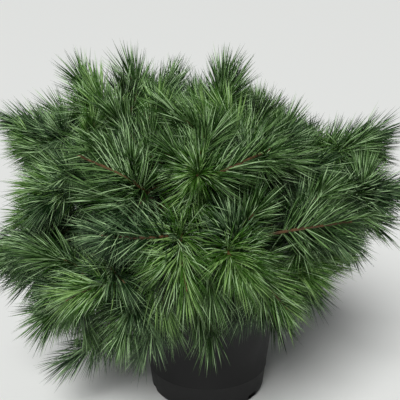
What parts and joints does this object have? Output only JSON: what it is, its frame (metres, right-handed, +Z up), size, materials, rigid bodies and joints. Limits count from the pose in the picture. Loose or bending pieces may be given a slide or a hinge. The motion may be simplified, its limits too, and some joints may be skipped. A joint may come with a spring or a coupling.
{
  "type": "potted dwarf white pine",
  "caption": "Dwarf blue shag white pine with a broad, shaggy, mounded crown of long soft needles, standing in a round tapered black nursery pot.",
  "frame": {"origin": "centre of the pot's flat underside", "axes": "+Z up along the pot's axis; the pictured side faces -Y"},
  "size_m": [0.778, 0.753, 0.6622],
  "materials": {
    "pot_plastic": "matte, lightly textured moulding",
    "bark_mix": "coarse moist bark chips",
    "pine_bark": "rough grey-brown bark",
    "pine_needles": "soft satin blue-green needles"
  },
  "bodies": {
    "root": {"pot": "pot_plastic", "potting_mix": "bark_mix", "trunk": "pine_bark", "bough_left_peak": "pine_bark", "bough_middle_peak": "pine_bark", "bough_right_shoulder": "pine_bark", "bough_right_arm": "pine_bark", "bough_right_elbow": "pine_bark", "bough_right_hand": "pine_bark", "bough_right_skirt": "pine_bark", "bough_front_right_high": "pine_bark", "bough_front_star": "pine_bark", "bough_front_right_skirt": "pine_bark", "bough_front_high": "pine_bark", "bough_front_low": "pine_bark", "bough_front_left": "pine_bark", "bough_front_left_high": "pine_bark", "bough_left_high": "pine_bark", "bough_left_mid": "pine_bark", "bough_left_low": "pine_bark", "bough_front_left_skirt": "pine_bark", "bough_front_skirt": "pine_bark", "bough_back_left_high": "pine_bark", "bough_back_right_high": "pine_bark", "bough_back_left": "pine_bark", "bough_back_mid": "pine_bark", "bough_back_right": "pine_bark", "bough_right_back": "pine_bark", "bough_back_left_skirt": "pine_bark", "bough_back_right_skirt": "pine_bark", "mass_left_peak": "pine_needles", "mass_middle_peak": "pine_needles", "mass_crown_top": "pine_needles", "mass_right_shoulder": "pine_needles", "mass_right_arm": "pine_needles", "mass_right_elbow": "pine_needles", "mass_right_hand": "pine_needles", "mass_right_skirt": "pine_needles", "mass_front_right_high": "pine_needles", "mass_front_star": "pine_needles", "mass_front_right_skirt": "pine_needles", "mass_front_high": "pine_needles", "mass_front_low": "pine_needles", "mass_front_left": "pine_needles", "mass_front_left_high": "pine_needles", "mass_left_high": "pine_needles", "mass_left_mid": "pine_needles", "mass_left_low": "pine_needles", "mass_front_left_skirt": "pine_needles", "mass_front_skirt": "pine_needles", "mass_back_left_high": "pine_needles", "mass_back_right_high": "pine_needles", "mass_back_left": "pine_needles", "mass_back_mid": "pine_needles", "mass_back_right": "pine_needles", "mass_right_back": "pine_needles", "mass_back_left_skirt": "pine_needles", "mass_back_right_skirt": "pine_needles"}
  },
  "joints": []
}
